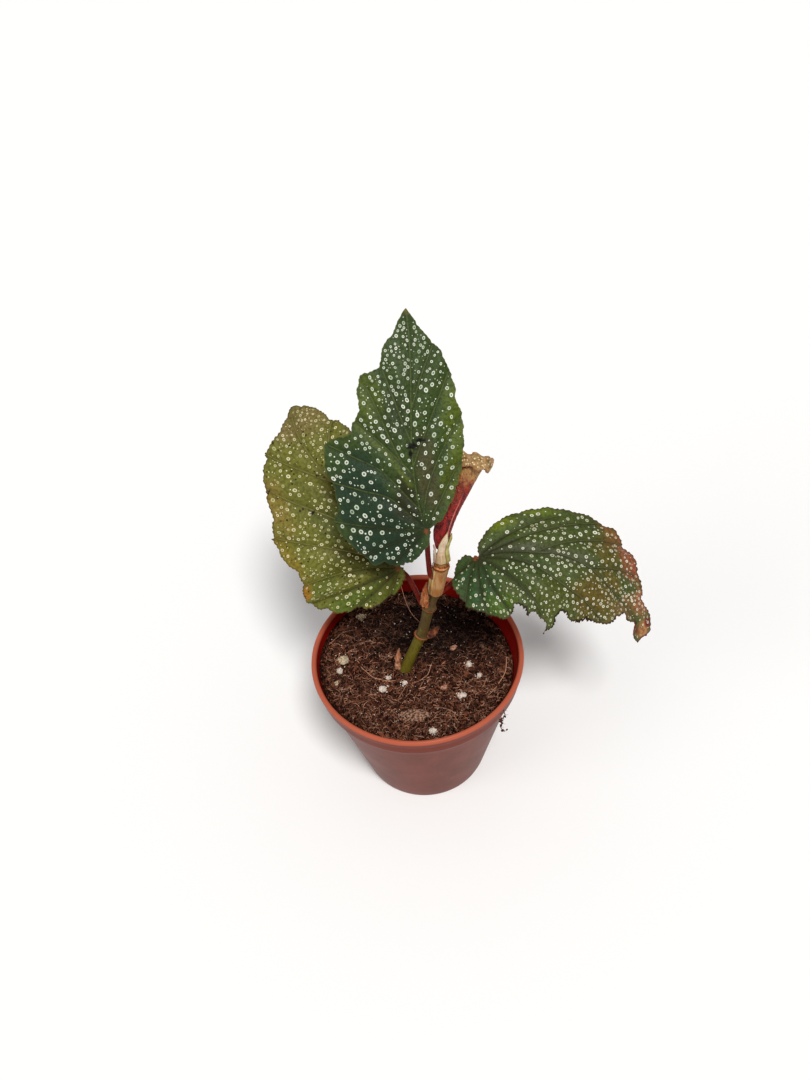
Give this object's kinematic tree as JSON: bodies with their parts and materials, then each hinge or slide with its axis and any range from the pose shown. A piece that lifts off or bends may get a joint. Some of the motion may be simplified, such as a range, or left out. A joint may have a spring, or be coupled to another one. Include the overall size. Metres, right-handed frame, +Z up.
{
  "type": "potted begonia",
  "caption": "Young angel-wing begonia with spotted, scalloped leaves on a ringed stem, one new leaf still rolled, standing in soil in a small round terracotta-coloured nursery pot.",
  "frame": {"origin": "middle of the pot's flat underside", "axes": "+Z up along the pot's axis; leaf A, the tallest, shows its upper face towards -Y, and leaf C hangs out over the rim towards +X"},
  "size_m": [0.1087, 0.0797, 0.1529],
  "materials": {
    "pot_plastic": "satin terracotta-coloured plastic",
    "soil": "moist fibrous potting mix",
    "stem": "satin olive bark-less stem",
    "stalk": "satin dark red leaf stalk",
    "leaf_green": "satin green leaf with cream spots",
    "leaf_olive": "satin olive leaf with cream spots",
    "leaf_dark": "satin dark green leaf with cream spots",
    "new_leaf": "satin crimson underside of a rolled leaf",
    "stipule": "pale papery stipule",
    "dried_scale": "dry brown papery scale"
  },
  "bodies": {
    "root": {"pot": "pot_plastic", "soil": "soil", "stem": "stem", "petiole_A": "stalk", "petiole_B": "stalk", "petiole_C": "stalk", "leaf_A": "leaf_green", "leaf_B": "leaf_olive", "leaf_C": "leaf_dark", "leaf_D": "new_leaf", "stipule_front": "stipule", "stipule_right": "stipule", "stipule_left": "stipule", "dry_stipule": "dried_scale", "node_scale": "dried_scale", "foot_scale": "dried_scale"}
  },
  "joints": []
}
